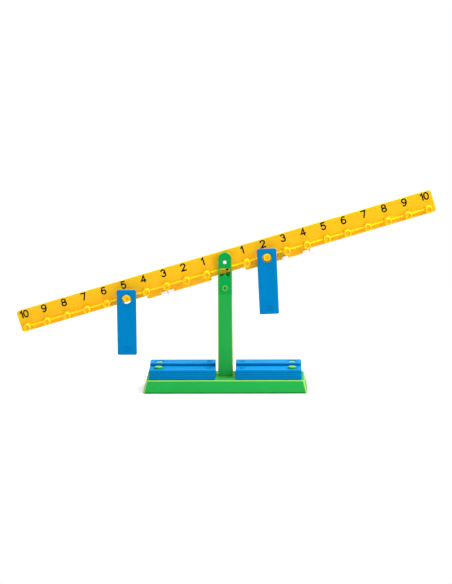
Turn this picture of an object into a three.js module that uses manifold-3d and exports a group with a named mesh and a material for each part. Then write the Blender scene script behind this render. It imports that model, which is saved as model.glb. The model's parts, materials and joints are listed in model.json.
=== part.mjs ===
// Math balance: a number beam that tilts on a forked post, with plate weights hung on its pegs
// and the spare weights stored on a hollow base. Millimetres, +Z up, front towards -Y.

import * as THREE from 'three';
import { mergeVertices } from 'three/addons/utils/BufferGeometryUtils.js';
import Module from 'manifold-3d';

// Beam, seen level from its pivot axis, with +X along it
const BEAM_LENGTH = 645;
const BEAM_HEIGHT = 33.2;
const BEAM_BELOW_PIVOT = 16.8;
const BEAM_CORNER_RADIUS = 4;
const BEAM_TILT = THREE.MathUtils.degToRad(16.4);
const WEB_THICKNESS = 4;
const HUB_DIAMETER = 12;
const RIB_DEPTH = 4;
const RIB_HEIGHT = 2;
const RIB_ABOVE_EDGE = 7.4;

// Pegs through the beam, one for each number
const PEGS_PER_ARM = 10;
const PEG_END_MARGIN = 10.5;
const PEG_DIAMETER = 10.8;
const PEG_NECK_DIAMETER = 6;
const PEG_BORE = 6;
const PEG_BORE_DEPTH = 1.5;
const PEG_ABOVE_EDGE = 7.1;
const PEG_TIP_PROUD = 1.8;

// Rails under the beam and the riders that trim its balance
const RAIL_FIRST_PEG = 1;
const RAIL_LAST_PEG = 4;
const RAIL_PAST_FIRST = 4.6;
const RAIL_PAST_LAST = 2.2;
const RAIL_DROP = 4.9;
const RAIL_END_SLOPE = 1.2;
const RIDER_WIDTH = 9.4;
const RIDER_GAP = 1.1;
const RIDER_WALL = 1.6;
const RIDER_FLOOR = 2.7;
const RIDER_UNDER_PEG = 2.4;
const RIDER_CORNER = 1.2;

// Rider places, as shares of the rail's length from its inner end
const LEFT_INNER_PLACE = 0.628;
const RIGHT_INNER_PLACE = 0.612;
const RIGHT_OUTER_PLACE = 0.928;

// Plate weights
const WEIGHT_LENGTH = 98.8;
const WEIGHT_WIDTH = 29;
const WEIGHT_THICKNESS = 3.6;
const WEIGHT_CORNER = 2.2;
const WEIGHT_HOLE_INSET = 14;
const LEFT_HUNG_PEG = 5;
const RIGHT_HUNG_PEG = 2;
const RIGHT_HANG_ANGLE = THREE.MathUtils.degToRad(2.4);

// Post with its forked head, and the plate that closes the fork in front
const POST_FOOT_WIDTH = 22.4;
const POST_HEAD_WIDTH = 20.6;
const POST_ABOVE_PIVOT = 15.5;
const POST_EDGE = 0.8;
const CHEEK_THICKNESS = 3;
const TENON_SHOULDER = 3;
const WINDOW_SIDE = 2.8;
const WINDOW_BELOW_PIVOT = 9;
const WINDOW_HEIGHT = 12.4;
const WINDOW_POCKET_DEPTH = 4;
const WINDOW_POCKET_DROP = 3;
const POINTER_HEIGHT = 4.9;
const POINTER_WIDTH = 5.2;
const STUD_BELOW_WINDOW = 17.6;
const PLATE_BELOW_STUD = 10;
const PIN_DIAMETER = 5.6;
const PIN_EDGE = 0.4;
const STUD_HEAD_DIAMETER = 8.6;
const STUD_HEAD_PROUD = 1;
const STUD_SHANK_DIAMETER = 5;
const STUD_SHANK_LENGTH = 12;
const STUD_RECESS_DIAMETER = 4.5;
const STUD_RECESS_DEPTH = 1.6;

// Base, open underneath, and the pegs that hold the spare weights
const BASE_HEIGHT = 19.5;
const BASE_DRAFT = 4.6;
const BASE_CORNER_RADIUS = 4;
const BASE_EDGE = 1.6;
const BASE_WALL = 2.6;
const BASE_END_MARGIN = 4.2;
const BASE_SIDE_MARGIN = 2.65;
const BASE_RIB = 2;
const BASE_RIB_LIFT = 2;
const BASE_BAYS_PER_SIDE = 3;
const SOCKET_WALL = 2.4;
const SOCKET_FLOOR = 2.4;
const STACK_POST_GAP = 4.1;
const STACK_ROW_GAP = 2.2;
const STACK_GAP = 0.05;
const STORAGE_PEG_HEIGHT = 17.6;
const STORAGE_PEG_EDGE = 0.8;
const STORAGE_SPIGOT_DIAMETER = 8;
const STACKS = [
  { row: 'front', y: -1, count: 4 },
  { row: 'rear', y: 1, count: 5 },
];

// Clearances
const FIT_GAP = 0.3;
const SEAM_GAP = 0.1;
const HUB_SIDE_GAP = 0.3;
const SLOT_SIDE_GAP = 1;
const HOLE_OVER_PEG = 1.6;
const HOLE_OVER_STORAGE_PEG = 0.9;
const HANG_FRONT_GAP = 0.6;
const TABLE_CLEARANCE = 10.5;

// Segments of round shapes, and the middle of a rounded edge as a share of its radius
const ROUND = 20;
const PEG_ROUND = 12;
const CORNER_ROUND = 2;
const EDGE_MID = 1 - Math.SQRT1_2;

// Sizes that follow from those above
const SIDES = [
  { side: 'left', x: -1 },
  { side: 'right', x: 1 },
];
const PEG_PITCH = (BEAM_LENGTH / 2 - PEG_END_MARGIN) / PEGS_PER_ARM;
const PEG_Z = PEG_ABOVE_EDGE - BEAM_BELOW_PIVOT;
const SLOT_WIDTH = WEB_THICKNESS + 2 * (RIB_DEPTH + SLOT_SIDE_GAP);
const POST_THICKNESS = SLOT_WIDTH + 2 * CHEEK_THICKNESS;
const HUNG_BACK = POST_THICKNESS / 2 + STUD_HEAD_PROUD + HANG_FRONT_GAP;
const PEG_REACH = HUNG_BACK + WEIGHT_THICKNESS + PEG_TIP_PROUD;
const RAIL_START = RAIL_FIRST_PEG * PEG_PITCH - RAIL_PAST_FIRST;
const RAIL_END = RAIL_LAST_PEG * PEG_PITCH + RAIL_PAST_LAST;
const RAIL_Z = -BEAM_BELOW_PIVOT - RAIL_DROP;
const WEIGHT_HOLE = PEG_DIAMETER + 2 * HOLE_OVER_PEG;
const WEIGHT_TAIL = WEIGHT_LENGTH - WEIGHT_HOLE_INSET;
const HANG_DROP = HOLE_OVER_PEG - FIT_GAP;
const STORAGE_PEG_DIAMETER = WEIGHT_HOLE - 2 * HOLE_OVER_STORAGE_PEG;
const STORAGE_PEG_X = POST_FOOT_WIDTH / 2 + STACK_POST_GAP + WEIGHT_TAIL;
const STORAGE_PEG_Y = (WEIGHT_WIDTH + STACK_ROW_GAP) / 2;
const BASE_TOP_HALF_X = STORAGE_PEG_X + WEIGHT_HOLE_INSET + BASE_END_MARGIN;
const BASE_TOP_HALF_Y = STORAGE_PEG_Y + WEIGHT_WIDTH / 2 + BASE_SIDE_MARGIN;
const SOCKET_DEPTH = BASE_HEIGHT - BASE_RIB_LIFT - SOCKET_FLOOR;
const WINDOW_Z = -WINDOW_BELOW_PIVOT - WINDOW_HEIGHT;
const WINDOW_HALF_WIDTH = POST_HEAD_WIDTH / 2 - WINDOW_SIDE;
const STUD_Z = WINDOW_Z - STUD_BELOW_WINDOW;
const PLATE_Z = STUD_Z - PLATE_BELOW_STUD;

// A weight on the outermost peg clears the table when the beam is at its stop
const PIVOT_HEIGHT = TABLE_CLEARANCE + WEIGHT_TAIL + HANG_DROP
  + PEGS_PER_ARM * PEG_PITCH * Math.sin(BEAM_TILT) - PEG_Z * Math.cos(BEAM_TILT);

// The fork's floor is a low roof whose slopes stop the beam at its tilt
const ROOF_PEAK = -(BEAM_BELOW_PIVOT + FIT_GAP) / Math.cos(BEAM_TILT);

// Plastics, as the photograph shows them
const YELLOW = { color: 0xfcc31c, roughness: 0.42, metalness: 0 };
const GREEN = { color: 0x18a94c, roughness: 0.45, metalness: 0 };
const BLUE = { color: 0x0480c8, roughness: 0.4, metalness: 0 };
const WHITE = { color: 0xf1ece2, roughness: 0.5, metalness: 0 };

const wasm = await Module();
wasm.setup();

function toSolid(geometry) {
  const bare = geometry.clone();
  bare.deleteAttribute('normal');
  bare.deleteAttribute('uv');
  const welded = mergeVertices(bare);
  return new wasm.Manifold(new wasm.Mesh({
    numProp: 3,
    vertProperties: new Float32Array(welded.getAttribute('position').array),
    triVerts: new Uint32Array(welded.getIndex().array),
  }));
}

function toGeometry(solid) {
  const mesh = solid.getMesh();
  const geometry = new THREE.BufferGeometry();
  geometry.setAttribute('position', new THREE.BufferAttribute(mesh.vertProperties, 3));
  geometry.setIndex(new THREE.BufferAttribute(mesh.triVerts, 1));
  geometry.computeVertexNormals();
  return geometry;
}

// One solid: the added shapes joined, then every cut taken away
function carve(added, cuts) {
  let solid = toSolid(added[0]);
  for (const shape of added.slice(1)) solid = solid.add(toSolid(shape));
  for (const shape of cuts) solid = solid.subtract(toSolid(shape));
  return toGeometry(solid);
}

function box(width, depth, height, x, y, z) {
  return new THREE.BoxGeometry(width, depth, height).translate(x, y, z);
}

// A round bar along Y
function bar(diameter, length, x, y, z, segments = ROUND) {
  return new THREE.CylinderGeometry(diameter / 2, diameter / 2, length, segments).translate(x, y, z);
}

// An upright outline, drawn in X and Z, given a thickness along Y and centred on y
function upright(shape, thickness, y, edge = 0) {
  const options = { depth: thickness - 2 * edge, curveSegments: CORNER_ROUND, bevelEnabled: edge > 0 };
  const bevel = { bevelSize: edge, bevelThickness: edge, bevelOffset: -edge, bevelSegments: 2 };
  const geometry = new THREE.ExtrudeGeometry(shape, { ...options, ...bevel });
  return geometry.rotateX(Math.PI / 2).translate(0, y + thickness / 2 - edge, 0);
}

// A turned solid about Y, from [radius, y] points that run from low to high y
function turned(points, segments) {
  return new THREE.LatheGeometry(points.map(([r, y]) => new THREE.Vector2(r, y)), segments);
}

function outline(points) {
  return new THREE.Shape(points.map(([x, z]) => new THREE.Vector2(x, z)));
}

function roundedRectangle(left, right, low, high, radius) {
  const shape = new THREE.Shape();
  shape.moveTo(left + radius, low);
  shape.lineTo(right - radius, low);
  shape.absarc(right - radius, low + radius, radius, -Math.PI / 2, 0);
  shape.lineTo(right, high - radius);
  shape.absarc(right - radius, high - radius, radius, 0, Math.PI / 2);
  shape.lineTo(left + radius, high);
  shape.absarc(left + radius, high - radius, radius, Math.PI / 2, Math.PI);
  shape.lineTo(left, low + radius);
  shape.absarc(left + radius, low + radius, radius, Math.PI, 1.5 * Math.PI);
  return shape;
}

// A closed loft through rounded rectangles, each [half x, half y, corner radius, z], from low to high
function loft(levels) {
  const positions = [];
  const indices = [];
  let ring = 0;
  for (const [halfX, halfY, radius, z] of levels) {
    const shape = roundedRectangle(-halfX, halfX, -halfY, halfY, radius);
    const points = shape.getPoints(CORNER_ROUND).slice(0, -1);
    ring = points.length;
    for (const p of points) positions.push(p.x, p.y, z);
  }
  for (let level = 0; level + 1 < levels.length; level++) {
    for (let i = 0; i < ring; i++) {
      const a = level * ring + i;
      const b = level * ring + (i + 1) % ring;
      indices.push(a, b, b + ring, a, b + ring, a + ring);
    }
  }
  const last = (levels.length - 1) * ring;
  for (let i = 1; i + 1 < ring; i++) {
    indices.push(0, i + 1, i);
    indices.push(last, last + i, last + i + 1);
  }
  const geometry = new THREE.BufferGeometry();
  geometry.setAttribute('position', new THREE.Float32BufferAttribute(positions, 3));
  geometry.setIndex(indices);
  return geometry;
}

function piece(name, geometry, finish) {
  const mesh = new THREE.Mesh(geometry, new THREE.MeshStandardMaterial(finish));
  mesh.name = name;
  return mesh;
}

// Base: a drafted shell with a socket for the post, stiffening ribs and holes for the storage pegs
function baseGeometry() {
  const shrink = BASE_DRAFT / BASE_HEIGHT;
  const halfX = (z) => BASE_TOP_HALF_X + BASE_DRAFT - shrink * z;
  const halfY = (z) => BASE_TOP_HALF_Y + BASE_DRAFT - shrink * z;
  const level = (z, inset, radius) => [halfX(z) - inset, halfY(z) - inset, radius, z];
  const ceiling = BASE_HEIGHT - BASE_WALL;
  const bevelStart = BASE_HEIGHT - BASE_EDGE;
  const shell = loft([
    level(0, 0, BASE_CORNER_RADIUS),
    level(bevelStart, 0, BASE_CORNER_RADIUS),
    level(BASE_HEIGHT - BASE_EDGE * EDGE_MID, BASE_EDGE * EDGE_MID, BASE_CORNER_RADIUS),
    level(BASE_HEIGHT, BASE_EDGE, BASE_CORNER_RADIUS),
  ]);
  const cavity = loft([
    level(-BASE_WALL, BASE_WALL, BASE_CORNER_RADIUS - BASE_WALL),
    level(ceiling, BASE_WALL, BASE_CORNER_RADIUS - BASE_WALL),
  ]);
  const tenonX = POST_FOOT_WIDTH - 2 * TENON_SHOULDER + 2 * FIT_GAP;
  const tenonY = POST_THICKNESS - 2 * TENON_SHOULDER + 2 * FIT_GAP;
  const ribHeight = ceiling - BASE_RIB_LIFT + BASE_WALL / 2;
  const ribZ = BASE_RIB_LIFT + ribHeight / 2;
  const ribReach = 2 * (halfX(ceiling) - BASE_WALL / 2);
  const ribSpan = 2 * (halfY(ceiling) - BASE_WALL / 2);
  const inside = [
    box(ribReach, BASE_RIB, ribHeight, 0, 0, ribZ),
    box(tenonX + 2 * SOCKET_WALL, tenonY + 2 * SOCKET_WALL, ribHeight, 0, 0, ribZ),
  ];
  for (const { x } of SIDES) {
    for (let bay = 1; bay < BASE_BAYS_PER_SIDE; bay++) {
      const ribX = x * bay * BASE_TOP_HALF_X / BASE_BAYS_PER_SIDE;
      inside.push(box(BASE_RIB, ribSpan, ribHeight, ribX, 0, ribZ));
    }
  }
  const spigotHole = STORAGE_SPIGOT_DIAMETER + 2 * FIT_GAP;
  const cuts = [box(tenonX, tenonY, 2 * SOCKET_DEPTH, 0, 0, BASE_HEIGHT)];
  for (const { x } of SIDES) {
    for (const { y } of STACKS) {
      const hole = bar(spigotHole, 4 * BASE_HEIGHT, 0, 0, 0).rotateX(Math.PI / 2);
      cuts.push(hole.translate(x * STORAGE_PEG_X, y * STORAGE_PEG_Y, 0));
    }
  }
  const hollow = carve([shell], [cavity]);
  return carve([hollow, ...inside], cuts);
}

// Storage peg: a stub with a spigot that plugs into the base
function storagePegGeometry() {
  const radius = STORAGE_PEG_DIAMETER / 2;
  const spigot = STORAGE_SPIGOT_DIAMETER / 2;
  const points = [
    [0, -BASE_WALL],
    [spigot, -BASE_WALL],
    [spigot, 0],
    [radius, 0],
    [radius, STORAGE_PEG_HEIGHT - STORAGE_PEG_EDGE],
    [radius - STORAGE_PEG_EDGE, STORAGE_PEG_HEIGHT],
    [0, STORAGE_PEG_HEIGHT],
  ];
  return turned(points, ROUND).rotateX(Math.PI / 2);
}

// Half width of the post at a height above its pivot axis
function postHalfWidth(z) {
  const headZ = POST_ABOVE_PIVOT - POST_HEAD_WIDTH / 2;
  const share = (z + PIVOT_HEIGHT - BASE_HEIGHT) / (headZ + PIVOT_HEIGHT - BASE_HEIGHT);
  return THREE.MathUtils.lerp(POST_FOOT_WIDTH, POST_HEAD_WIDTH, share) / 2;
}

// The post's front outline about its pivot, from a low edge up to the round head
function postOutline(low, inset) {
  const radius = POST_HEAD_WIDTH / 2 - inset;
  const headZ = POST_ABOVE_PIVOT - POST_HEAD_WIDTH / 2;
  const foot = postHalfWidth(low) - inset;
  const shape = new THREE.Shape();
  shape.moveTo(-foot, low);
  shape.lineTo(foot, low);
  shape.lineTo(radius, headZ);
  for (let i = 1; i <= ROUND / 2; i++) {
    const angle = Math.PI * i / (ROUND / 2);
    shape.lineTo(radius * Math.cos(angle), headZ + radius * Math.sin(angle));
  }
  return shape;
}

// Post: column, rear cheek of the fork, roof-shaped fork floor, a rebate for the front plate and a dark pocket
// behind its window
function postGeometry() {
  const foot = BASE_HEIGHT - PIVOT_HEIGHT;
  const column = upright(postOutline(foot, 0), POST_THICKNESS, 0, POST_EDGE);
  const tenonLength = SOCKET_DEPTH - FIT_GAP;
  const tenon = box(POST_FOOT_WIDTH - 2 * TENON_SHOULDER, POST_THICKNESS - 2 * TENON_SHOULDER,
    tenonLength + TENON_SHOULDER, 0, 0, foot + (TENON_SHOULDER - tenonLength) / 2);
  const wide = POST_FOOT_WIDTH + POST_HEAD_WIDTH;
  const high = 2 * POST_ABOVE_PIVOT;
  const eaves = ROOF_PEAK - wide * Math.tan(BEAM_TILT);
  const fork = outline([[-wide, eaves], [0, ROOF_PEAK], [wide, eaves], [wide, high], [-wide, high]]);
  const rebateZ = PLATE_Z - SEAM_GAP;
  const rebateFront = 2 * CHEEK_THICKNESS;
  const pocketZ = WINDOW_Z - WINDOW_POCKET_DROP;
  const cuts = [
    upright(fork, SLOT_WIDTH, 0),
    box(2 * wide, rebateFront, high - rebateZ, 0, -SLOT_WIDTH / 2 - rebateFront / 2, (high + rebateZ) / 2),
    box(2 * WINDOW_HALF_WIDTH, 2 * WINDOW_POCKET_DEPTH, -pocketZ, 0, -SLOT_WIDTH / 2, pocketZ / 2),
    bar(PIN_DIAMETER + 2 * FIT_GAP, POST_THICKNESS, 0, POST_THICKNESS / 2, 0),
    bar(STUD_SHANK_DIAMETER + 2 * FIT_GAP, 2 * STUD_SHANK_LENGTH, 0, -POST_THICKNESS / 2 + FIT_GAP, STUD_Z),
  ];
  return carve([column, tenon], cuts);
}

// Front plate: the fork's front cheek, with the window and the pointer that reads the zero mark
function frontPlateGeometry() {
  const shape = postOutline(PLATE_Z, SEAM_GAP);
  shape.holes.push(new THREE.Path([
    new THREE.Vector2(-WINDOW_HALF_WIDTH, -WINDOW_BELOW_PIVOT),
    new THREE.Vector2(WINDOW_HALF_WIDTH, -WINDOW_BELOW_PIVOT),
    new THREE.Vector2(WINDOW_HALF_WIDTH, WINDOW_Z),
    new THREE.Vector2(POINTER_WIDTH / 2, WINDOW_Z),
    new THREE.Vector2(0, WINDOW_Z + POINTER_HEIGHT),
    new THREE.Vector2(-POINTER_WIDTH / 2, WINDOW_Z),
    new THREE.Vector2(-WINDOW_HALF_WIDTH, WINDOW_Z),
  ]));
  const y = -POST_THICKNESS / 2 + CHEEK_THICKNESS / 2;
  const plate = upright(shape, CHEEK_THICKNESS, y);
  const cuts = [
    bar(PIN_DIAMETER + 2 * FIT_GAP, 2 * POST_THICKNESS, 0, 0, 0),
    bar(STUD_SHANK_DIAMETER + 2 * FIT_GAP, 2 * POST_THICKNESS, 0, 0, STUD_Z),
  ];
  return carve([plate], cuts);
}

function pinGeometry() {
  const radius = PIN_DIAMETER / 2;
  const end = POST_THICKNESS / 2;
  return turned([
    [0, -end],
    [radius - PIN_EDGE, -end],
    [radius, -end + PIN_EDGE],
    [radius, end - PIN_EDGE],
    [radius - PIN_EDGE, end],
    [0, end],
  ], ROUND);
}

// Stud: holds the front plate to the post, with a recess in its head
function studGeometry() {
  const face = -POST_THICKNESS / 2;
  const head = STUD_HEAD_DIAMETER / 2;
  const recess = STUD_RECESS_DIAMETER / 2;
  const shank = STUD_SHANK_DIAMETER / 2;
  return turned([
    [0, face - STUD_HEAD_PROUD + STUD_RECESS_DEPTH],
    [recess, face - STUD_HEAD_PROUD + STUD_RECESS_DEPTH],
    [recess, face - STUD_HEAD_PROUD],
    [head - STUD_HEAD_PROUD / 2, face - STUD_HEAD_PROUD],
    [head, face - STUD_HEAD_PROUD / 2],
    [head, face],
    [shank, face],
    [shank, face + STUD_SHANK_LENGTH],
    [0, face + STUD_SHANK_LENGTH],
  ], ROUND).translate(0, 0, STUD_Z);
}

function beamOutline() {
  const half = BEAM_LENGTH / 2;
  const low = -BEAM_BELOW_PIVOT;
  return roundedRectangle(-half, half, low, low + BEAM_HEIGHT, BEAM_CORNER_RADIUS);
}

// Rail: a strip that carries on below the web
function railOutline() {
  const top = -BEAM_BELOW_PIVOT + RAIL_DROP;
  return outline([
    [RAIL_START, top],
    [RAIL_START, RAIL_Z + RAIL_END_SLOPE],
    [RAIL_START + RAIL_END_SLOPE, RAIL_Z],
    [RAIL_END - RAIL_END_SLOPE, RAIL_Z],
    [RAIL_END, RAIL_Z + RAIL_END_SLOPE],
    [RAIL_END, top],
  ]);
}

// Beam: web with its rails, ledge ribs from peg to peg, and the hub that turns on the pin
function beamGeometry() {
  const added = [
    upright(beamOutline(), WEB_THICKNESS, 0),
    upright(railOutline(), WEB_THICKNESS, 0),
    upright(railOutline(), WEB_THICKNESS, 0).rotateZ(Math.PI),
    box(2 * PEGS_PER_ARM * PEG_PITCH, WEB_THICKNESS + 2 * RIB_DEPTH, RIB_HEIGHT, 0, 0,
      RIB_ABOVE_EDGE - BEAM_BELOW_PIVOT),
    bar(HUB_DIAMETER, SLOT_WIDTH - 2 * HUB_SIDE_GAP, 0, 0, 0),
  ];
  const cuts = [bar(PIN_DIAMETER + 2 * FIT_GAP, 2 * SLOT_WIDTH, 0, 0, 0)];
  const ribOuter = RIB_DEPTH + SLOT_SIDE_GAP;
  for (const { x } of SIDES) {
    for (let number = 1; number <= PEGS_PER_ARM; number++) {
      const pegX = x * number * PEG_PITCH;
      cuts.push(bar(PEG_NECK_DIAMETER + 2 * FIT_GAP, SLOT_WIDTH, pegX, 0, PEG_Z, PEG_ROUND));
      for (const face of [-1, 1]) {
        const y = face * (WEB_THICKNESS + ribOuter) / 2;
        cuts.push(bar(PEG_DIAMETER + 2 * FIT_GAP, ribOuter, pegX, y, PEG_Z, PEG_ROUND));
      }
    }
  }
  return carve(added, cuts);
}

// Peg: a bobbin through the web, bored at both ends
function pegGeometry() {
  const radius = PEG_DIAMETER / 2;
  const neck = PEG_NECK_DIAMETER / 2;
  const bore = PEG_BORE / 2;
  const shoulder = WEB_THICKNESS / 2 + FIT_GAP;
  const half = [
    [neck, shoulder],
    [radius, shoulder],
    [radius, PEG_REACH],
    [bore, PEG_REACH],
    [bore, PEG_REACH - PEG_BORE_DEPTH],
    [0, PEG_REACH - PEG_BORE_DEPTH],
  ];
  const mirrored = half.map(([r, y]) => [r, -y]).reverse();
  return turned([...mirrored, ...half], PEG_ROUND);
}

// Rider: a clip with a slot that straddles the rail, placed by its distance along the beam
function riderGeometry() {
  const inner = WEB_THICKNESS / 2 + FIT_GAP;
  const outer = inner + RIDER_WALL;
  const top = PEG_Z - PEG_DIAMETER / 2 - RIDER_UNDER_PEG;
  const floor = RAIL_Z - FIT_GAP;
  const bottom = floor - RIDER_FLOOR;
  const section = outline([
    [-outer, top],
    [-outer, bottom + RIDER_CORNER],
    [-outer + RIDER_CORNER, bottom],
    [outer - RIDER_CORNER, bottom],
    [outer, bottom + RIDER_CORNER],
    [outer, top],
    [inner, top],
    [inner, floor],
    [-inner, floor],
    [-inner, top],
  ]);
  const options = { depth: RIDER_WIDTH, bevelEnabled: false };
  const clip = new THREE.ExtrudeGeometry(section, options).translate(0, 0, -RIDER_WIDTH / 2);
  return clip.rotateX(Math.PI / 2).rotateZ(Math.PI / 2);
}

// Plate weight lying flat: hole at the origin, tail along +X, underside at z 0
function weightGeometry() {
  const half = WEIGHT_WIDTH / 2;
  const shape = roundedRectangle(-WEIGHT_HOLE_INSET, WEIGHT_TAIL, -half, half, WEIGHT_CORNER);
  const hole = [];
  for (let i = 0; i < ROUND; i++) {
    const angle = -2 * Math.PI * i / ROUND;
    hole.push(new THREE.Vector2(Math.cos(angle), Math.sin(angle)).multiplyScalar(WEIGHT_HOLE / 2));
  }
  shape.holes.push(new THREE.Path(hole));
  const options = { depth: WEIGHT_THICKNESS, curveSegments: CORNER_ROUND, bevelEnabled: false };
  return new THREE.ExtrudeGeometry(shape, options);
}

const balance = new THREE.Group();

// Stand: base, storage pegs, post, front plate, stud and pin
balance.add(piece('base', baseGeometry(), GREEN));
const head = new THREE.Group();
head.position.z = PIVOT_HEIGHT;
head.add(piece('post', postGeometry(), GREEN));
head.add(piece('post_front_plate', frontPlateGeometry(), GREEN));
head.add(piece('plate_stud', studGeometry(), GREEN));
head.add(piece('pivot_pin', pinGeometry(), WHITE));
balance.add(head);

// Storage pegs with the spare weights stacked on them, hole ends outwards
for (const { side, x } of SIDES) {
  for (const { row, y, count } of STACKS) {
    const stack = new THREE.Group();
    stack.position.set(x * STORAGE_PEG_X, y * STORAGE_PEG_Y, BASE_HEIGHT);
    stack.add(piece(`storage_peg_${row}_${side}`, storagePegGeometry(), GREEN));
    for (let level = 0; level < count; level++) {
      const weight = piece(`weight_${row}_${side}_${level + 1}`, weightGeometry(), BLUE);
      weight.position.z = level * (WEIGHT_THICKNESS + STACK_GAP) + STACK_GAP;
      weight.rotation.z = x > 0 ? Math.PI : 0;
      stack.add(weight);
    }
    balance.add(stack);
  }
}

// Beam with its pegs and riders, tilted left end down
const beam = new THREE.Group();
beam.position.z = PIVOT_HEIGHT;
beam.rotation.y = -BEAM_TILT;
beam.add(piece('beam', beamGeometry(), YELLOW));
for (const { side, x } of SIDES) {
  for (let number = 1; number <= PEGS_PER_ARM; number++) {
    const peg = piece(`peg_${side}_${number}`, pegGeometry(), YELLOW);
    peg.position.set(x * number * PEG_PITCH, 0, PEG_Z);
    beam.add(peg);
  }
}
const railPlace = (share) => RAIL_START + share * (RAIL_END - RAIL_START);
const riders = {
  rider_left_outer: -railPlace(LEFT_INNER_PLACE) - RIDER_WIDTH - RIDER_GAP,
  rider_left_inner: -railPlace(LEFT_INNER_PLACE),
  rider_right_inner: railPlace(RIGHT_INNER_PLACE),
  rider_right_outer: railPlace(RIGHT_OUTER_PLACE),
};
for (const [name, x] of Object.entries(riders)) {
  const rider = piece(name, riderGeometry(), WHITE);
  rider.position.x = x;
  beam.add(rider);
}
balance.add(beam);

// Weights hung on the beam's front pegs
const hung = [
  { name: 'hung_weight_left', x: -LEFT_HUNG_PEG * PEG_PITCH, angle: 0 },
  { name: 'hung_weight_right', x: RIGHT_HUNG_PEG * PEG_PITCH, angle: RIGHT_HANG_ANGLE },
];
beam.updateMatrixWorld(true);
for (const { name, x, angle } of hung) {
  const peg = new THREE.Group();
  peg.position.copy(beam.localToWorld(new THREE.Vector3(x, -HUNG_BACK - WEIGHT_THICKNESS, PEG_Z)));
  peg.rotation.y = -angle;
  const upended = weightGeometry().rotateY(Math.PI / 2).rotateZ(Math.PI / 2);
  const weight = piece(name, upended, BLUE);
  weight.position.z = -HANG_DROP;
  peg.add(weight);
  balance.add(peg);
}

export default balance;
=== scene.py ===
"""A math balance: smooth pegs, plate weights, printed numbers, moulded plastic and studio light."""
import json
from math import acos, copysign, cos, pi, radians, sin, tan

import bmesh
import bpy
from mathutils import Matrix, Vector


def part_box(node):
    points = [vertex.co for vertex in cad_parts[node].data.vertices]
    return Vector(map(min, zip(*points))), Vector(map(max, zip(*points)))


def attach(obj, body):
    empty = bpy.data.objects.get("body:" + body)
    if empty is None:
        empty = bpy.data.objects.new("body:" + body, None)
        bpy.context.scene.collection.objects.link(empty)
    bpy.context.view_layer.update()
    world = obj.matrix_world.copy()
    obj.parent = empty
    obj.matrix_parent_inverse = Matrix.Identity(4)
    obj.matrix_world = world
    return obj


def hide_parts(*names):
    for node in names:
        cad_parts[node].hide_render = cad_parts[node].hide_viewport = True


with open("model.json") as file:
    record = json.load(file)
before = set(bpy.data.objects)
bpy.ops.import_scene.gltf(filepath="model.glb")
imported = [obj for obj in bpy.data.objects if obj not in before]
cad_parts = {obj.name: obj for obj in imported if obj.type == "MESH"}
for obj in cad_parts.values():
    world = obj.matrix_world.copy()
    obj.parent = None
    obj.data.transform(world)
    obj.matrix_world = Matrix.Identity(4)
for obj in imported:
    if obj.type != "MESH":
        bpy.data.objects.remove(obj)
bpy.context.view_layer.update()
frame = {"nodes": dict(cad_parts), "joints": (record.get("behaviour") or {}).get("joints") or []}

MM = 0.001
UP = Vector((0, 0, 1))

# The beam, in mm and degrees
BEAM_TILT = 16.4
BEAM_TOP = 16.4
WEB_FACE = 2.0
PEGS_PER_ARM = 10
PEG_PITCH = 31.2

# The pegs, in mm
PEG_RADIUS = 5.4
PEG_BORE_RADIUS = 3.1
PEG_BORE_DEPTH = 1.5
PEG_BORE_ROUND = 0.6
PEG_MOUTH_ROUND = 0.5
PEG_NECK_RADIUS = 3.0
PEG_ROOT_RADIUS = 5.7
PEG_ROOT_LENGTH = 0.6
PEG_ROOT_ROUND = 0.5
PEG_RIM_ROUND = 0.7
PEG_RIM_INNER = 4.0

# The hair's breadth between a face and the one it sits on, clear of it or sunk into it, in mm
SEATED = 0.02

# The pin, the stud and the storage pegs, in mm
PIN_ROUND = 0.7
STUD_SHANK_RADIUS = 2.5
STUD_RECESS_RADIUS = 2.4
STUD_RECESS_DEPTH = 1.6
STUD_HEAD_LENGTH = 1.0
STUD_ROUND = 0.4
STORAGE_PEG_ROUND = 1.6
STORAGE_SPIGOT_RADIUS = 4.0
STORAGE_SPIGOT_ROUND = 0.4

# The raised rim round the front plate, in mm
HEAD_RADIUS = 10.2
RIM_INSET = 0.2
RIM_WIDTH = 1.0
RIM_RAISED = 0.5
RIM_ROOT = 0.8
RIM_ROUND = 0.15
RIM_ROUND_STEPS = 2

# The plate weights, in mm and degrees
WEIGHT_WIDTH = 29.0
WEIGHT_LENGTH = 98.8
WEIGHT_THICKNESS = 3.6
WEIGHT_CORNER = 2.2
WEIGHT_FRONT_EDGE = 0.35
WEIGHT_BACK_EDGE = 1.4
WEIGHT_HOLE_RADIUS = 7.0
WEIGHT_HOLE_INSET = 14.0
WEIGHT_HANG_DROP = 1.3
LEFT_HANG_ANGLE = 0.0
RIGHT_HANG_ANGLE = 2.4
FRONT_STACK = 4
REAR_STACK = 5
PANEL_WIDTH = 12.0
PANEL_HEIGHT = 8.4
PANEL_CORNER = 1.2
PANEL_DEPTH = 0.45
PANEL_ABOVE_TAIL = 5.0
WEIGHT_MARK = 10
MARK_HEIGHT = 5.0
MARK_STROKE = 0.9
MARK_RAISED = 0.3

# The printed numbers, in mm
DIGIT_HEIGHT = 10.1
DIGIT_STROKE = 2.0
DIGIT_WIDEN = 1.14
DIGIT_BELOW_TOP = 1.1
DIGIT_SHIFT = -0.3
DIGIT_INWARD = 0.5
INK_THICKNESS = 0.05
ZERO_MARK_RADIUS = 1.8
ZERO_MARK_BELOW_PIVOT = 12.2

# How far the edges of the CAD nodes are rounded, in mm
BASE_EDGE = 0.6
POST_EDGE = 0.2
FRONT_PLATE_EDGE = 0.5
BEAM_EDGE = 0.7
RIDER_EDGE = 0.3

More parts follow.
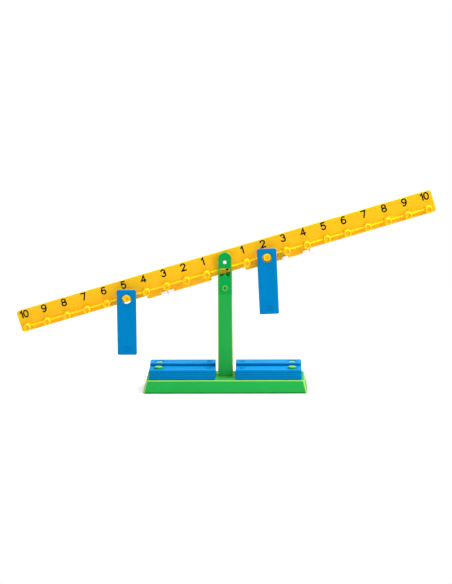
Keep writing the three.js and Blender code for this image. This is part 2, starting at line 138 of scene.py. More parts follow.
# Angles in degrees: between faces that count as flat, at edges that are rounded and at those left sharp
FLAT_ANGLE = 0.5
ROUNDED_ANGLE = 32
SHARP_ANGLE = 40
INK_SHARP_ANGLE = 20

# Points closer than this are one, in mm
WELD_DISTANCE = 0.001

# A face lies across an edge where no part of its normal reaches this
EDGE_TURN = 0.93

# Where painted highlights on turned faces start above the floor, and the rib's painted highlight from the
# beam's middle, in mm
HIGHLIGHT_ABOVE_FLOOR = 2.0
RIB_HIGHLIGHT_FROM = 3.5

# Where painted shade on the beam's strip below its rib turns it deeper in colour, from the pivot up, in mm
STRIP_SHADE_HEIGHTS = (-9.0, -11.0)

# Where the painted shadow along the base's foot turns it dark, from the floor up, in mm
FOOT_SHADOW_HEIGHTS = (2.2, 1.0)

# Facets
ROUND_STEPS = 48
FILLET_STEPS = 5
EDGE_STEPS = 3
CAP_STEPS = 8
ARC_STEP = 9.0

# A mitre's cosine is taken as no less than this, so that sharp corners stay short
MITRE_LIMIT = 0.35

# Plastic colours, linear
YELLOW = (0.97, 0.58, 0.009)
# Painted highlight on the beam's turned faces and on its rib
YELLOW_HIGHLIGHT = (1.0, 0.78, 0.008)
# Painted highlight on the pegs' rims
YELLOW_RIM_HIGHLIGHT = (1.0, 0.62, 0.008)
# Painted shade on the pegs' sides
YELLOW_SIDE_SHADE = (0.95, 0.44, 0.008)
# Painted shade on the beam's strip below its rib
YELLOW_STRIP_SHADE = (0.965, 0.52, 0.010)
GREEN = (0.018, 0.385, 0.066)
GREEN_PLATE = (0.003, 0.385, 0.066)
# Painted highlight on the turned faces of the green parts
GREEN_HIGHLIGHT = (0.34, 0.6, 0.12)
# Painted shadow along the base's foot
GREEN_FOOT_SHADOW = (0.015, 0.06, 0.018)
# Painted highlight on the stud's head, the storage pegs' tops and the front plate's rim bead
GREEN_RAISED_HIGHLIGHT = (0.17, 0.46, 0.08)
BLUE = (0.0003, 0.215, 0.535)
WHITE = (0.98, 0.975, 0.96)
INK = (0.0025, 0.002, 0.0015)

# Plastic texture: noise per metre, spread of the roughness, depths of grain and scattered light in m
FLOW_SCALE = 24.0
GLOSS_SCALE = 160.0
GRAIN_SCALE = 1900.0
GLOSS_SPREAD = 0.06
GRAIN_DEPTH = 0.0004
GLOW_DEPTH = 0.006
GLOW_BY_COLOUR = (1.0, 0.45, 0.1)

# The studio, in m and W: a round floor that fades out, the lamps' places, sizes and powers
FLOOR_RADIUS = 1.1
FLOOR_FADE = (0.5, 1.0)
FLOOR_COLOUR = (0.72, 0.72, 0.72, 1)
FLOOR_ROUGHNESS = 0.9
SURROUND_COLOUR = (1, 1, 1, 1)
AMBIENT = 0.40
LAMP_AIM = (0, 0, 0.15)
LAMPS = {
    "key": ((1.35, -0.95, 1.0), 1.5, 18),
    "fill": ((-1.5, -1.6, 0.9), 1.4, 2),
    "top": ((0.25, 0.2, 1.9), 1.6, 60),
}

# The camera, in mm, degrees and picture points
CAMERA_PLACE = (66.2, -3000.0, 704.2)
CAMERA_YAW = 1.238
CAMERA_PITCH = -10.514
CAMERA_ROLL = -0.384
CAMERA_FOCAL = 2039.75
CAMERA_REACH = 100000.0
PICTURE_WIDTH = 452
SENSOR_WIDTH = 36.0

hinges = [joint for joint in frame["joints"] if joint["type"] == "hinge"]
joint_place = {joint["name"]: Vector(joint["pos_m"]) for joint in hinges}
pivot = joint_place["beam_tilt"]
beam_matrix = Matrix.Translation(pivot) @ Matrix.Rotation(-radians(BEAM_TILT), 4, "Y")


# Materials

def node_maker(material):
    """A function that adds a shader node with its settings, and one that links two sockets."""
    tree = material.node_tree

    def make(kind, **settings):
        node = tree.nodes.new(kind)
        for name, value in settings.items():
            if hasattr(node, name):
                setattr(node, name, value)
            else:
                node.inputs[name.replace("_", " ")].default_value = value
        return node

    return make, tree.links.new


def moulded_plastic(name, colour, roughness, mottle, grain=0.06, specular=0.15, subsurface=0.0):
    """Injection-moulded plastic: faint flow mottling, a fine mould texture and uneven gloss."""
    material = bpy.data.materials.new(name)
    material.use_nodes = True
    shader = material.node_tree.nodes["Principled BSDF"]
    make, link = node_maker(material)
    place = make("ShaderNodeTexCoord")
    flow = make("ShaderNodeTexNoise", Scale=FLOW_SCALE, Detail=3.0, Roughness=0.55, Distortion=0.6)
    tint = make("ShaderNodeMix", data_type="RGBA")
    tint.inputs["A"].default_value = (*[channel * (1 - mottle) for channel in colour], 1)
    tint.inputs["B"].default_value = (*[min(channel * (1 + mottle), 1) for channel in colour], 1)
    gloss_noise = make("ShaderNodeTexNoise", Scale=GLOSS_SCALE, Detail=4.0)
    gloss = make("ShaderNodeMapRange", To_Min=roughness - GLOSS_SPREAD, To_Max=roughness + GLOSS_SPREAD)
    texture = make("ShaderNodeTexNoise", Scale=GRAIN_SCALE, Detail=2.0)
    bump = make("ShaderNodeBump", Strength=grain, Distance=GRAIN_DEPTH)
    for noise in (flow, gloss_noise, texture):
        link(place.outputs["Object"], noise.inputs["Vector"])
    link(flow.outputs["Fac"], tint.inputs["Factor"])
    link(tint.outputs["Result"], shader.inputs["Base Color"])
    link(gloss_noise.outputs["Fac"], gloss.inputs["Value"])
    link(gloss.outputs["Result"], shader.inputs["Roughness"])
    link(texture.outputs["Fac"], bump.inputs["Height"])
    link(bump.outputs["Normal"], shader.inputs["Normal"])
    shader.inputs["Specular IOR Level"].default_value = specular
    shader.inputs["Subsurface Weight"].default_value = subsurface
    shader.inputs["Subsurface Radius"].default_value = GLOW_BY_COLOUR
    shader.inputs["Subsurface Scale"].default_value = GLOW_DEPTH
    return material


YELLOW_FINISH = {"roughness": 0.42, "mottle": 0.03, "subsurface": 0.5}
GREEN_FINISH = {"roughness": 0.40, "mottle": 0.06, "specular": 0.04}
PLATE_FINISH = {"roughness": 0.40, "mottle": 0.06, "specular": 0.02}
# Finish of the painted highlight on raised green tops
RAISED_HIGHLIGHT_FINISH = {"roughness": 0.34, "mottle": 0.08, "specular": 0.04}
BLUE_FINISH = {"roughness": 0.45, "mottle": 0.05, "specular": 0.015}
WHITE_FINISH = {"roughness": 0.38, "mottle": 0.03, "subsurface": 0.15}
INK_FINISH = {"roughness": 0.55, "mottle": 0.35, "grain": 0.03, "specular": 0.04}
plastic = {
    "yellow_plastic": moulded_plastic("yellow_plastic_moulded", YELLOW, **YELLOW_FINISH),
    # Painted highlight on the beam's turned faces and rib
    "yellow_highlight": moulded_plastic("yellow_plastic_highlight", YELLOW_HIGHLIGHT, **YELLOW_FINISH),
    # Painted highlight on the pegs' rims
    "yellow_rim_highlight": moulded_plastic("yellow_plastic_rim_highlight", YELLOW_RIM_HIGHLIGHT, **YELLOW_FINISH),
    # Painted shade on the pegs' sides
    "yellow_side_shade": moulded_plastic("yellow_plastic_side_shade", YELLOW_SIDE_SHADE, **YELLOW_FINISH),
    # The beam's plastic, given painted shade on its strip below the rib
    "yellow_beam": moulded_plastic("yellow_plastic_beam", YELLOW, **YELLOW_FINISH),
    "green_plastic": moulded_plastic("green_plastic_moulded", GREEN, **GREEN_FINISH),
    # The base's plastic, given a painted shadow along its foot
    "green_base": moulded_plastic("green_plastic_base", GREEN, **GREEN_FINISH),
    "green_plate": moulded_plastic("green_plastic_plate", GREEN_PLATE, **PLATE_FINISH),
    # Painted highlight on the green parts' turned faces
    "green_highlight": moulded_plastic("green_plastic_highlight", GREEN_HIGHLIGHT, **GREEN_FINISH),
    # Painted highlight on raised green tops
    "green_raised_highlight": moulded_plastic("green_plastic_raised_highlight", GREEN_RAISED_HIGHLIGHT, **RAISED_HIGHLIGHT_FINISH),
    "blue_plastic": moulded_plastic("blue_plastic_moulded", BLUE, **BLUE_FINISH),
    "white_plastic": moulded_plastic("white_plastic_moulded", WHITE, **WHITE_FINISH),
}
ink = moulded_plastic("printed_ink", INK, **INK_FINISH)


def deepen_low_strip(material, colour, up, ground, heights):
    """Paints shade: turns a plastic to another colour between two heights in mm over the ground, along up.
    """
    make, link = node_maker(material)
    shader = material.node_tree.nodes["Principled BSDF"]
    tint = shader.inputs["Base Color"].links[0].from_socket
    place = make("ShaderNodeTexCoord")
    height = make("ShaderNodeVectorMath", operation="DOT_PRODUCT")
    height.inputs[1].default_value = up
    start, full = (up.dot(ground) + level * MM for level in heights)
    deep = make("ShaderNodeMapRange", From_Min=start, From_Max=full)
    mix = make("ShaderNodeMix", data_type="RGBA")
    mix.inputs["B"].default_value = (*colour, 1)
    link(place.outputs["Object"], height.inputs[0])
    link(height.outputs["Value"], deep.inputs["Value"])
    link(deep.outputs["Result"], mix.inputs["Factor"])
    link(tint, mix.inputs["A"])
    link(mix.outputs["Result"], shader.inputs["Base Color"])


# Painted shade: the beam's strip below its rib turns deeper in colour
deepen_low_strip(plastic["yellow_beam"], YELLOW_STRIP_SHADE, beam_matrix.to_3x3() @ UP, pivot, STRIP_SHADE_HEIGHTS)
# Painted shadow: the base's foot turns dark green near the floor
deepen_low_strip(plastic["green_base"], GREEN_FOOT_SHADOW, UP, Vector(), FOOT_SHADOW_HEIGHTS)


# CAD nodes that stay: welded, with rounded edges and smooth corners

def geometry_group(name):
    """An empty geometry group, the socket where the geometry comes in and the one where it leaves."""
    group = bpy.data.node_groups.new(name, "GeometryNodeTree")
    for way in ("INPUT", "OUTPUT"):
        group.interface.new_socket("Geometry", in_out=way, socket_type="NodeSocketGeometry")
    start = group.nodes.new("NodeGroupInput")
    end = group.nodes.new("NodeGroupOutput")
    return group, start.outputs[0], end.inputs[0]


def weld_group():
    """Joins the facets' shared points and drops the flat normals that came with them."""
    group, start, end = geometry_group("weld")
    merge = group.nodes.new("GeometryNodeMergeByDistance")
    drop = group.nodes.new("GeometryNodeRemoveAttribute")
    merge.inputs["Distance"].default_value = WELD_DISTANCE * MM
    drop.inputs["Name"].default_value = "custom_normal"
    group.links.new(start, merge.inputs["Geometry"])
    group.links.new(merge.outputs["Geometry"], drop.inputs["Geometry"])
    group.links.new(drop.outputs["Geometry"], end)
    return group


def smooth_group():
    """Smooth shading, broken only at sharp edges."""
    group, start, end = geometry_group("smooth")
    faces = group.nodes.new("GeometryNodeSetShadeSmooth")
    edges = group.nodes.new("GeometryNodeSetShadeSmooth")
    edge_angle = group.nodes.new("GeometryNodeInputMeshEdgeAngle")
    sharp = group.nodes.new("FunctionNodeCompare")
    faces.inputs["Shade Smooth"].default_value = True
    edges.domain = "EDGE"
    edges.inputs["Shade Smooth"].default_value = False
    sharp.operation = "GREATER_THAN"
    sharp.inputs["B"].default_value = radians(SHARP_ANGLE)
    group.links.new(edge_angle.outputs["Unsigned Angle"], sharp.inputs["A"])
    group.links.new(sharp.outputs["Result"], edges.inputs["Selection"])
    group.links.new(start, faces.inputs["Geometry"])
    group.links.new(faces.outputs["Geometry"], edges.inputs["Geometry"])
    group.links.new(edges.outputs["Geometry"], end)
    return group


def edge_group(name, material, reach=None):
    """Painted highlights: the paler plastic of turned faces clear of the floor, and of all beyond a reach
    in mm along Y.
    """
    group, start, end = geometry_group(name)
    normal = group.nodes.new("GeometryNodeInputNormal")
    place = group.nodes.new("GeometryNodeInputPosition")
    paint = group.nodes.new("GeometryNodeSetMaterial")
    paint.inputs["Material"].default_value = material

    def compute(operation, first, second=None):
        node = group.nodes.new("ShaderNodeMath")
        node.operation = operation
        for socket, value in zip(node.inputs, (first, second)):
            if isinstance(value, float):
                socket.default_value = value
            elif value:
                group.links.new(value, socket)
        return node.outputs["Value"]

    def split(source):
        node = group.nodes.new("ShaderNodeSeparateXYZ")
        group.links.new(source, node.inputs["Vector"])
        return node.outputs

    along = [compute("ABSOLUTE", axis) for axis in split(normal.outputs["Normal"])]
    largest = compute("MAXIMUM", compute("MAXIMUM", along[0], along[1]), along[2])
    turned = compute("LESS_THAN", largest, EDGE_TURN)
    at = split(place.outputs["Position"])
    clear = compute("GREATER_THAN", at["Z"], HIGHLIGHT_ABOVE_FLOOR * MM)
    pale = compute("MULTIPLY", turned, clear)
    if reach:
        far = compute("GREATER_THAN", compute("ABSOLUTE", at["Y"]), reach * MM)
        pale = compute("MAXIMUM", pale, far)
    group.links.new(pale, paint.inputs["Selection"])
    group.links.new(start, paint.inputs["Geometry"])
    group.links.new(paint.outputs["Geometry"], end)
    return group


weld = weld_group()
smooth = smooth_group()
# Painted highlight on the turned faces of the green parts
green_highlights = edge_group("green_highlights", plastic["green_highlight"])
highlight_groups = {
    "green_base": green_highlights,
    "green_plastic": green_highlights,
    "green_plate": green_highlights,
    # Painted highlight on the beam's turned faces and on its rib, beyond a reach along Y
    "yellow_beam": edge_group("yellow_highlights", plastic["yellow_highlight"], RIB_HIGHLIGHT_FROM),
}


def dress(node, finish, edge):
    """Gives a CAD node its plastic and rounds its edges by a width in mm."""
    piece = frame["nodes"][node]
    piece.material_slots[0].material = plastic[finish]
    piece.modifiers.new("weld", "NODES").node_group = weld
    flat = piece.modifiers.new("flat_faces", "DECIMATE")
    flat.decimate_type = "DISSOLVE"
    flat.angle_limit = radians(FLAT_ANGLE)
    rounding = piece.modifiers.new("rounded_edges", "BEVEL")
    rounding.width = edge * MM
    rounding.segments = EDGE_STEPS
    rounding.limit_method = "ANGLE"
    rounding.angle_limit = radians(ROUNDED_ANGLE)
    # Painted highlights: turned faces take a paler plastic
    if finish in highlight_groups:
        piece.modifiers.new("highlight_groups", "NODES").node_group = highlight_groups[finish]
    piece.modifiers.new("smooth", "NODES").node_group = smooth
    piece.modifiers.new("even_normals", "WEIGHTED_NORMAL").keep_sharp = True


dress("base", "green_base", BASE_EDGE)
dress("post", "green_plastic", POST_EDGE)
dress("post_front_plate", "green_plate", FRONT_PLATE_EDGE)
dress("beam", "yellow_beam", BEAM_EDGE)
for rider in ("left_outer", "left_inner", "right_inner", "right_outer"):
    dress(f"rider_{rider}", "white_plastic", RIDER_EDGE)


# Pieces made here

def add_piece(name, mesh, matrix, body, node=None):
    """A piece that rides on a body, hiding the CAD node that it replaces."""
    piece = bpy.data.objects.new(name, mesh)
    bpy.context.collection.objects.link(piece)
    piece.matrix_world = matrix
    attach(piece, body)
    if node:
        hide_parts(node)


def finished_mesh(name, shape, *materials, sharp_angle=SHARP_ANGLE):
    """A smooth mesh of a shape, with its sharp edges marked and its materials."""
    bmesh.ops.recalc_face_normals(shape, faces=shape.faces)
    for face in shape.faces:
        face.smooth = True
    mesh = bpy.data.meshes.new(name)
    shape.to_mesh(mesh)
    shape.free()
    mesh.set_sharp_from_angle(angle=radians(sharp_angle))
    for material in materials:
        mesh.materials.append(material)
    return mesh


def filleted(profile):
    """Rounds the corners of a line of (radius, height, fillet) points, in mm."""
    line = []
    for index, (x, y, fillet) in enumerate(profile):
        corner = Vector((x, y))
        if fillet == 0:
            line.append(corner)
            continue
        before = (Vector(profile[index - 1][:2]) - corner).normalized()
        after = (Vector(profile[index + 1][:2]) - corner).normalized()
        half = acos(max(-1, min(1, before.dot(after)))) / 2
        centre = corner + (before + after).normalized() * fillet / sin(half)
        first = corner + before * fillet / tan(half) - centre
        last = corner + after * fillet / tan(half) - centre
        turn = first.angle_signed(last)
        for step in range(FILLET_STEPS + 1):
            line.append(centre + Matrix.Rotation(-turn * step / FILLET_STEPS, 2) @ first)
    return line


def circle(radius):
    """The points of a circle about the origin."""
    angles = [2 * pi * step / ROUND_STEPS for step in range(ROUND_STEPS)]
    return [(radius * cos(angle), radius * sin(angle)) for angle in angles]


def lathe(name, profile, finishes, pick=None):
    """A round piece about local Z from a line of (radius, height, fillet) points, axis to axis, in mm.
    Each face takes the one of the finishes that pick gives for its radius and height."""
    shape = bmesh.new()
    rings = []
    for radius, height in filleted(profile):
        points = circle(radius) if radius else [(0, 0)]
        rings.append([shape.verts.new((x * MM, y * MM, height * MM)) for x, y in points])
    for lower, upper in zip(rings, rings[1:]):
        for step in range(ROUND_STEPS):
            after = (step + 1) % ROUND_STEPS
            corners = [lower[step % len(lower)], lower[after % len(lower)]]
            corners += [upper[after % len(upper)], upper[step % len(upper)]]
            face = shape.faces.new(list(dict.fromkeys(corners)))
            if pick:
                middle = face.calc_center_median() / MM
                face.material_index = finishes.index(pick(middle.xy.length, middle.z))
    return finished_mesh(name, shape, *[plastic[finish] for finish in finishes])


def centre_of(node):
    low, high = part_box(node)
    return (low + high) / 2


# Local Z of a lathed piece towards the front
TO_FRONT = Matrix.Rotation(pi / 2, 4, "X")

# Beam pegs
peg_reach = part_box("peg_left_1")[1].y / MM
peg_front = [
    (0, peg_reach - PEG_BORE_DEPTH, 0),
    (PEG_BORE_RADIUS, peg_reach - PEG_BORE_DEPTH, PEG_BORE_ROUND),
    (PEG_BORE_RADIUS, peg_reach, PEG_MOUTH_ROUND),
    (PEG_RADIUS, peg_reach, PEG_RIM_ROUND),
    (PEG_RADIUS, WEB_FACE + PEG_ROOT_LENGTH, PEG_ROOT_ROUND),
    (PEG_ROOT_RADIUS, WEB_FACE + SEATED, 0),
    (PEG_NECK_RADIUS, WEB_FACE + SEATED, 0),
]
peg_back = [(radius, -height, fillet) for radius, height, fillet in reversed(peg_front)]


def peg_finish(radius, height):
    """The bore plain, the sides a deeper painted shade and the rim a little paler as a painted highlight.
    """
    if radius < PEG_RIM_INNER:
        return "yellow_plastic"
    return "yellow_rim_highlight" if abs(height) > peg_reach - PEG_RIM_ROUND else "yellow_side_shade"


peg_finishes = ("yellow_plastic", "yellow_side_shade", "yellow_rim_highlight")
peg_mesh = lathe("beam_peg", peg_front + peg_back, peg_finishes, peg_finish)
for side in ("left", "right"):
    for number in range(1, PEGS_PER_ARM + 1):
        node = f"peg_{side}_{number}"
        place = Matrix.Translation(centre_of(node)) @ TO_FRONT
        add_piece(f"smooth_{node}", peg_mesh, place, "beam", node)

# Pivot pin
low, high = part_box("pivot_pin")
pin_radius = (high.x - low.x) / 2 / MM
pin_half = (high.y - low.y) / 2 / MM
pin_profile = [
    (0, pin_half, 0),
    (pin_radius, pin_half, PIN_ROUND),
    (pin_radius, -pin_half, PIN_ROUND),
    (0, -pin_half, 0),
]
pin_mesh = lathe("pin", pin_profile, ("white_plastic",))
pin_place = Matrix.Translation(centre_of("pivot_pin")) @ TO_FRONT
add_piece("smooth_pivot_pin", pin_mesh, pin_place, "stand", "pivot_pin")

# Plate stud
low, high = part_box("plate_stud")
stud_radius = (high.x - low.x) / 2 / MM
stud_length = (high.y - low.y) / MM
stud_profile = [
    (0, -STUD_RECESS_DEPTH, 0),
    (STUD_RECESS_RADIUS, -STUD_RECESS_DEPTH, STUD_ROUND),
    (STUD_RECESS_RADIUS, 0, STUD_ROUND),
    (stud_radius, 0, STUD_ROUND),
    (stud_radius, -STUD_HEAD_LENGTH, 0),
    (STUD_SHANK_RADIUS, -STUD_HEAD_LENGTH, 0),
    (STUD_SHANK_RADIUS, -stud_length, STUD_ROUND),
    (0, -stud_length, 0),
]


# Painted highlight on the stud's head
def stud_finish(radius, height):
    return "green_raised_highlight" if height > -STUD_HEAD_LENGTH else "green_plastic"


stud_mesh = lathe("stud", stud_profile, ("green_plastic", "green_raised_highlight"), stud_finish)
stud_front = Vector(((low.x + high.x) / 2, low.y, (low.z + high.z) / 2))
stud_place = Matrix.Translation(stud_front) @ TO_FRONT
add_piece("smooth_plate_stud", stud_mesh, stud_place, "stand", "plate_stud")

# Storage pegs
base_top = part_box("base")[1].z
low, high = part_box("storage_peg_front_left")
storage_radius = (high.x - low.x) / 2 / MM
storage_height = (high.z - base_top) / MM
spigot_foot = (low.z - base_top) / MM
storage_profile = [
    (0, storage_height, 0),
    (storage_radius, storage_height, STORAGE_PEG_ROUND),
    (storage_radius, SEATED, 0),
    (STORAGE_SPIGOT_RADIUS, SEATED, 0),
    (STORAGE_SPIGOT_RADIUS, spigot_foot, STORAGE_SPIGOT_ROUND),
    (0, spigot_foot, 0),
]


# Painted highlight on the storage pegs' tops
def storage_finish(radius, height):
    return "green_raised_highlight" if height > storage_height - STORAGE_PEG_ROUND / 2 else "green_plastic"


storage_finishes = ("green_plastic", "green_raised_highlight")
storage_mesh = lathe("storage_peg", storage_profile, storage_finishes, storage_finish)
for row in ("front", "rear"):
    for side in ("left", "right"):
        node = f"storage_peg_{row}_{side}"
        foot = centre_of(node)
        foot.z = base_top
        place = Matrix.Translation(foot)
        add_piece(f"smooth_{node}", storage_mesh, place, "stand", node)


# Numbers as strokes: lines and arcs in a box one unit high, centred on x

def arc(x, z, wide, tall, start, stop):
    count = max(2, round(abs(stop - start) / ARC_STEP))
    angles = [radians(start + (stop - start) * step / count) for step in range(count + 1)]
    return [(x + wide * cos(angle), z + tall * sin(angle)) for angle in angles]


def loop(x, z, wide, tall):
    return arc(x, z, wide, tall, 0, 360)


SIX = [loop(0, 0.3, 0.27, 0.3), arc(0.06, 0.3, 0.33, 0.7, 62, 180)]
DIGITS = {
    "0": [loop(0, 0.5, 0.27, 0.5)],
    "1": [[(-0.16, 0.78), (0.04, 1), (0.04, 0)]],
    "2": [arc(0, 0.73, 0.27, 0.27, 165, -32) + [(-0.27, 0), (0.28, 0)]],
    "3": [arc(0, 0.76, 0.24, 0.24, 155, -90) + arc(0, 0.26, 0.27, 0.26, 90, -155)],
    "4": [[(0.12, 0), (0.12, 1), (-0.29, 0.28), (0.29, 0.28)]],
    "5": [[(0.23, 1), (-0.17, 1), (-0.22, 0.55)] + arc(0, 0.32, 0.27, 0.32, 130, -150)],
    "6": SIX,
    "7": [[(-0.27, 1), (0.27, 1), (-0.07, 0)]],
    "8": [loop(0, 0.755, 0.23, 0.245), loop(0, 0.265, 0.28, 0.265)],
    "9": [[(-x, 1 - z) for x, z in stroke] for stroke in SIX],
}

# Where the two figures of 10 stand, in figure heights
TEN_SPREAD = (-0.31, 0.22)


def number_strokes(number):
    """The strokes of 1 to 10, with the two figures of 10 set close."""
    shifts = (0,) if number < 10 else TEN_SPREAD
    strokes = []
    for figure, shift in zip(str(number), shifts):
        strokes += [[(x + shift, z) for x, z in stroke] for stroke in DIGITS[figure]]
    return strokes


def round_end(end, inside, half):
    """Points round the end of a bar, from its left side to its right as seen looking outwards."""
    along = (end - inside).normalized()
    left = Vector((-along.y, along.x)) * half
    return [end + Matrix.Rotation(-pi * step / CAP_STEPS, 2) @ left for step in range(1, CAP_STEPS)]


def stroke_sides(points, closed, half):
    """The two sides of a bar along a line, mitred at its corners."""
    count = len(points)
    sides = ([], [])
    for index, point in enumerate(points):
        before = points[index - 1] if closed or index else point
        after = points[(index + 1) % count] if closed or index < count - 1 else point
        along_in = (point - before).normalized() if before != point else (after - point).normalized()
        along_out = (after - point).normalized() if after != point else along_in
        normal_in = Vector((-along_in.y, along_in.x))
        normal_out = Vector((-along_out.y, along_out.x))
        mitre = (normal_in + normal_out).normalized()
        reach = half / max(mitre.dot(normal_in), MITRE_LIMIT)
        sides[0].append(point + mitre * reach)
        sides[1].append(point - mitre * reach)
    return sides


def add_wall(shape, first, second):
    """The faces between two closed outlines of as many points."""
    for index in range(len(first)):
        shape.faces.new((first[index - 1], first[index], second[index], second[index - 1]))


def add_stroke(shape, stroke, half, back, front):
    """A closed bar along a stroke with round ends, from depth back to depth front towards -Y."""
    points = [Vector(point) for point in stroke]
    closed = (points[0] - points[-1]).length < WELD_DISTANCE * MM
    if closed:
        points.pop()
    left, right = stroke_sides(points, closed, half)
    if closed:
        outlines = [left, right]
    else:
        start = round_end(points[0], points[1], half)
        end = round_end(points[-1], points[-2], half)
        outlines = [start + left + end + right[::-1]]
    levels = []
    for depth in (back, front):
        levels.append([[shape.verts.new((p.x, -depth, p.y)) for p in outline] for outline in outlines])
    for lower, upper in zip(*levels):
        add_wall(shape, lower, upper)
    for level in levels:
        if closed:
            add_wall(shape, *level)
        else:
            shape.faces.new(level[0])


def add_number(shape, number, x, z, height, stroke, back, front):
    """A number centred on x whose middle is at z; all in mm."""
    for points in number_strokes(number):
        line = [((x + u * DIGIT_WIDEN * height) * MM, (z + (v - 0.5) * height) * MM) for u, v in points]
        add_stroke(shape, line, stroke / 2 * MM, back * MM, front * MM)


def add_disc(shape, x, z, radius, back, front):
    """A round dot, in mm."""
    levels = []
    for depth in (back, front):
        rim = [((x + u) * MM, -depth * MM, (z + v) * MM) for u, v in circle(radius)]
        levels.append([shape.verts.new(point) for point in rim])
    add_wall(shape, *levels)
    for level in levels:
        shape.faces.new(level)


def rim_mesh(half_foot, foot_z, top_z):
    """A low bead round the front plate's sides and round head, about the pivot; all in mm."""
    shape = bmesh.new()
    inset = RIM_INSET + RIM_WIDTH / 2
    radius = HEAD_RADIUS - inset
    head = arc(0, top_z - HEAD_RADIUS, radius, radius, 180, 0)
    line = [(inset - half_foot, foot_z + inset), *head, (half_foot - inset, foot_z + inset)]
    path = [(x * MM, z * MM) for x, z in line]
    add_stroke(shape, path, RIM_WIDTH / 2 * MM, -RIM_ROOT * MM, RIM_RAISED * MM)
    level = -RIM_RAISED / 2 * MM
    raised = [edge for edge in shape.edges if all(point.co.y < level for point in edge.verts)]
    bmesh.ops.bevel(shape, geom=raised, offset=RIM_ROUND * MM, segments=RIM_ROUND_STEPS,
                    profile=0.5, affect="EDGES")
    # The bead takes the pale green of a painted highlight
    return finished_mesh("plate_rim", shape, plastic["green_raised_highlight"])


# Front plate's rim
low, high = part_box("post_front_plate")
rim = rim_mesh(high.x / MM, (low.z - pivot.z) / MM, (high.z - pivot.z) / MM)
add_piece("plate_rim", rim, Matrix.Translation((0, low.y, pivot.z)), "stand")

# Printed numbers on both faces of the beam
digit_z = BEAM_TOP - DIGIT_BELOW_TOP - (DIGIT_HEIGHT + DIGIT_STROKE) / 2
ink_depths = (WEB_FACE - SEATED, WEB_FACE + INK_THICKNESS)
for face, turn in (("front", 0), ("rear", pi)):
    shape = bmesh.new()
    for number in range(1, PEGS_PER_ARM + 1):
        for arm in (-PEG_PITCH, PEG_PITCH):
            x = arm * number + DIGIT_SHIFT - copysign(DIGIT_INWARD, arm)
            add_number(shape, number, x, digit_z, DIGIT_HEIGHT, DIGIT_STROKE, *ink_depths)
    add_disc(shape, 0, -ZERO_MARK_BELOW_PIVOT, ZERO_MARK_RADIUS, *ink_depths)
    mesh = finished_mesh(f"numbers_{face}", shape, ink, sharp_angle=INK_SHARP_ANGLE)
    place = beam_matrix @ Matrix.Rotation(turn, 4, "Z")
    add_piece(f"numbers_{face}", mesh, place, "beam")


# Plate weights: hole at the origin, tail down, thickness along Y, a number in a shallow panel on the front

def rounded_box(left, right, bottom, top, corner):
    """A rounded outline, in mm."""
    steps = [90 * step / FILLET_STEPS for step in range(FILLET_STEPS + 1)]
    corners = [(right - corner, top - corner, 0), (left + corner, top - corner, 90),
               (left + corner, bottom + corner, 180), (right - corner, bottom + corner, 270)]
    return [(x + corner * cos(radians(start + step)), z + corner * sin(radians(start + step)))
            for x, z, start in corners for step in steps]


def add_ring(shape, line, y):
    """The points and edges of a closed outline at a depth; all in mm."""
    points = [shape.verts.new((x * MM, y * MM, z * MM)) for x, z in line]
    return points, [shape.edges.new((points[index - 1], points[index])) for index in range(len(points))]


def weight_mesh():
    """A plate with its hole and, near its tail, the raised number in its panel."""
    shape = bmesh.new()
    half = WEIGHT_THICKNESS / 2
    tail = WEIGHT_HOLE_INSET - WEIGHT_LENGTH
    plan = rounded_box(-WEIGHT_WIDTH / 2, WEIGHT_WIDTH / 2, tail, WEIGHT_HOLE_INSET, WEIGHT_CORNER)
    panel_low = tail + PANEL_ABOVE_TAIL
    panel_top = panel_low + PANEL_HEIGHT
    panel = rounded_box(-PANEL_WIDTH / 2, PANEL_WIDTH / 2, panel_low, panel_top, PANEL_CORNER)
    rims = {-half: [], half: []}
    for line in (plan, circle(WEIGHT_HOLE_RADIUS)):
        back, back_edges = add_ring(shape, line, half)
        front, front_edges = add_ring(shape, line, -half)
        add_wall(shape, back, front)
        rims[half] += back_edges
        rims[-half] += front_edges
    mouth, mouth_edges = add_ring(shape, panel, -half)
    floor, _ = add_ring(shape, panel, PANEL_DEPTH - half)
    add_wall(shape, mouth, floor)
    shape.faces.new(floor)
    bmesh.ops.triangle_fill(shape, edges=rims[half], use_beauty=True)
    bmesh.ops.triangle_fill(shape, edges=rims[-half] + mouth_edges, use_beauty=True)
    bmesh.ops.recalc_face_normals(shape, faces=shape.faces)
    for side, width in ((-half, WEIGHT_FRONT_EDGE), (half, WEIGHT_BACK_EDGE)):
        bmesh.ops.bevel(shape, geom=rims[side], offset=width * MM, segments=EDGE_STEPS,
                        profile=0.5, affect="EDGES")
    sunk = half - PANEL_DEPTH
    middle = panel_low + PANEL_HEIGHT / 2
    depths = (sunk - SEATED, sunk + MARK_RAISED)
    add_number(shape, WEIGHT_MARK, 0, middle, MARK_HEIGHT, MARK_STROKE, *depths)
    return finished_mesh("plate_weight", shape, plastic["blue_plastic"])


plate = weight_mesh()


def hang(side, angle):
    """A weight on its peg, turned about it by an angle in degrees that takes the tail to the right."""
    node = f"hung_weight_{side}"
    turn = Matrix.Rotation(-radians(angle), 4, "Y")
    drop = Matrix.Translation((0, centre_of(node).y, -WEIGHT_HANG_DROP * MM))
    place = Matrix.Translation(joint_place[f"swing_{side}"]) @ turn @ drop
    add_piece(f"plate_{node}", plate, place, node, node)


hang("left", LEFT_HANG_ANGLE)
hang("right", RIGHT_HANG_ANGLE)

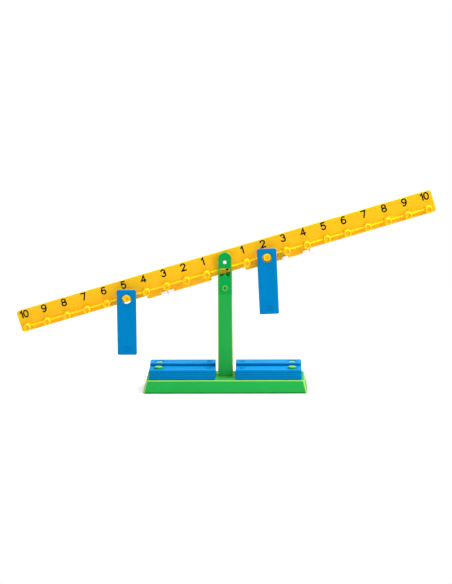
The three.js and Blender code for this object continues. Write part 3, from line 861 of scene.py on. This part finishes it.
# Stacked weights, front face up, with the tail towards the post
LAID = {
    "left": Matrix(((0, 0, -1), (1, 0, 0), (0, -1, 0))).to_4x4(),
    "right": Matrix(((0, 0, 1), (-1, 0, 0), (0, -1, 0))).to_4x4(),
}
for row, count in (("front", FRONT_STACK), ("rear", REAR_STACK)):
    for side, laid in LAID.items():
        hole = centre_of(f"storage_peg_{row}_{side}")
        for level in range(1, count + 1):
            node = f"weight_{row}_{side}_{level}"
            hole.z = centre_of(node).z
            place = Matrix.Translation(hole) @ laid
            add_piece(f"plate_{node}", plate, place, node, node)


# Studio: a pale floor that fades into a white surround, soft lamps and the camera

def add_floor():
    shape = bmesh.new()
    bmesh.ops.create_circle(shape, cap_ends=True, radius=FLOOR_RADIUS, segments=ROUND_STEPS)
    mesh = bpy.data.meshes.new("floor")
    shape.to_mesh(mesh)
    shape.free()
    material = bpy.data.materials.new("pale_floor")
    material.use_nodes = True
    make, link = node_maker(material)
    shader = material.node_tree.nodes["Principled BSDF"]
    shader.inputs["Base Color"].default_value = FLOOR_COLOUR
    shader.inputs["Roughness"].default_value = FLOOR_ROUGHNESS
    place = make("ShaderNodeTexCoord")
    distance = make("ShaderNodeVectorMath", operation="LENGTH")
    inner, outer = FLOOR_FADE
    fade = make("ShaderNodeMapRange", interpolation_type="SMOOTHSTEP", From_Min=inner, From_Max=outer)
    clear = make("ShaderNodeBsdfTransparent")
    mix = make("ShaderNodeMixShader")
    link(place.outputs["Object"], distance.inputs[0])
    link(distance.outputs["Value"], fade.inputs["Value"])
    link(fade.outputs["Result"], mix.inputs["Fac"])
    link(shader.outputs["BSDF"], mix.inputs[1])
    link(clear.outputs["BSDF"], mix.inputs[2])
    link(mix.outputs["Shader"], material.node_tree.nodes["Material Output"].inputs["Surface"])
    mesh.materials.append(material)
    floor = bpy.data.objects.new("floor", mesh)
    bpy.context.collection.objects.link(floor)


def add_world():
    """White where it is seen or mirrored, and a plain ambient light elsewhere."""
    world = bpy.data.worlds.new("surround")
    bpy.context.scene.world = world
    world.use_nodes = True
    make, link = node_maker(world)
    background = world.node_tree.nodes["Background"]
    background.inputs["Color"].default_value = SURROUND_COLOUR
    path = make("ShaderNodeLightPath")
    seen = make("ShaderNodeMath", operation="MAXIMUM")
    shown = make("ShaderNodeMath", operation="MAXIMUM")
    level = make("ShaderNodeMapRange", To_Min=AMBIENT, To_Max=1.0)
    link(path.outputs["Is Camera Ray"], seen.inputs[0])
    link(path.outputs["Is Glossy Ray"], seen.inputs[1])
    link(seen.outputs["Value"], shown.inputs[0])
    link(path.outputs["Is Transmission Ray"], shown.inputs[1])
    link(shown.outputs["Value"], level.inputs["Value"])
    link(level.outputs["Result"], background.inputs["Strength"])


def add_lamp(name, place, size, power):
    light = bpy.data.lights.new(name, "AREA")
    light.shape = "DISK"
    light.size = size
    light.energy = power
    lamp = bpy.data.objects.new(name, light)
    bpy.context.collection.objects.link(lamp)
    lamp.location = place
    lamp.rotation_euler = (Vector(LAMP_AIM) - Vector(place)).to_track_quat("-Z", "Y").to_euler()


def add_camera():
    camera = bpy.data.cameras.new("camera")
    camera.sensor_fit = "HORIZONTAL"
    camera.sensor_width = SENSOR_WIDTH
    camera.lens = CAMERA_FOCAL * SENSOR_WIDTH / PICTURE_WIDTH
    camera.clip_end = CAMERA_REACH * MM
    seat = bpy.data.objects.new("camera", camera)
    bpy.context.collection.objects.link(seat)
    yaw = Matrix.Rotation(radians(CAMERA_YAW), 4, "Z")
    pitch = Matrix.Rotation(radians(90 + CAMERA_PITCH), 4, "X")
    roll = Matrix.Rotation(radians(CAMERA_ROLL), 4, "Z")
    seat.matrix_world = Matrix.Translation(Vector(CAMERA_PLACE) * MM) @ (yaw @ pitch @ roll)
    bpy.context.scene.camera = seat


add_floor()
add_world()
for name, (place, size, power) in LAMPS.items():
    add_lamp(name, place, size, power)
add_camera()
bpy.context.scene.view_settings.view_transform = "Standard"
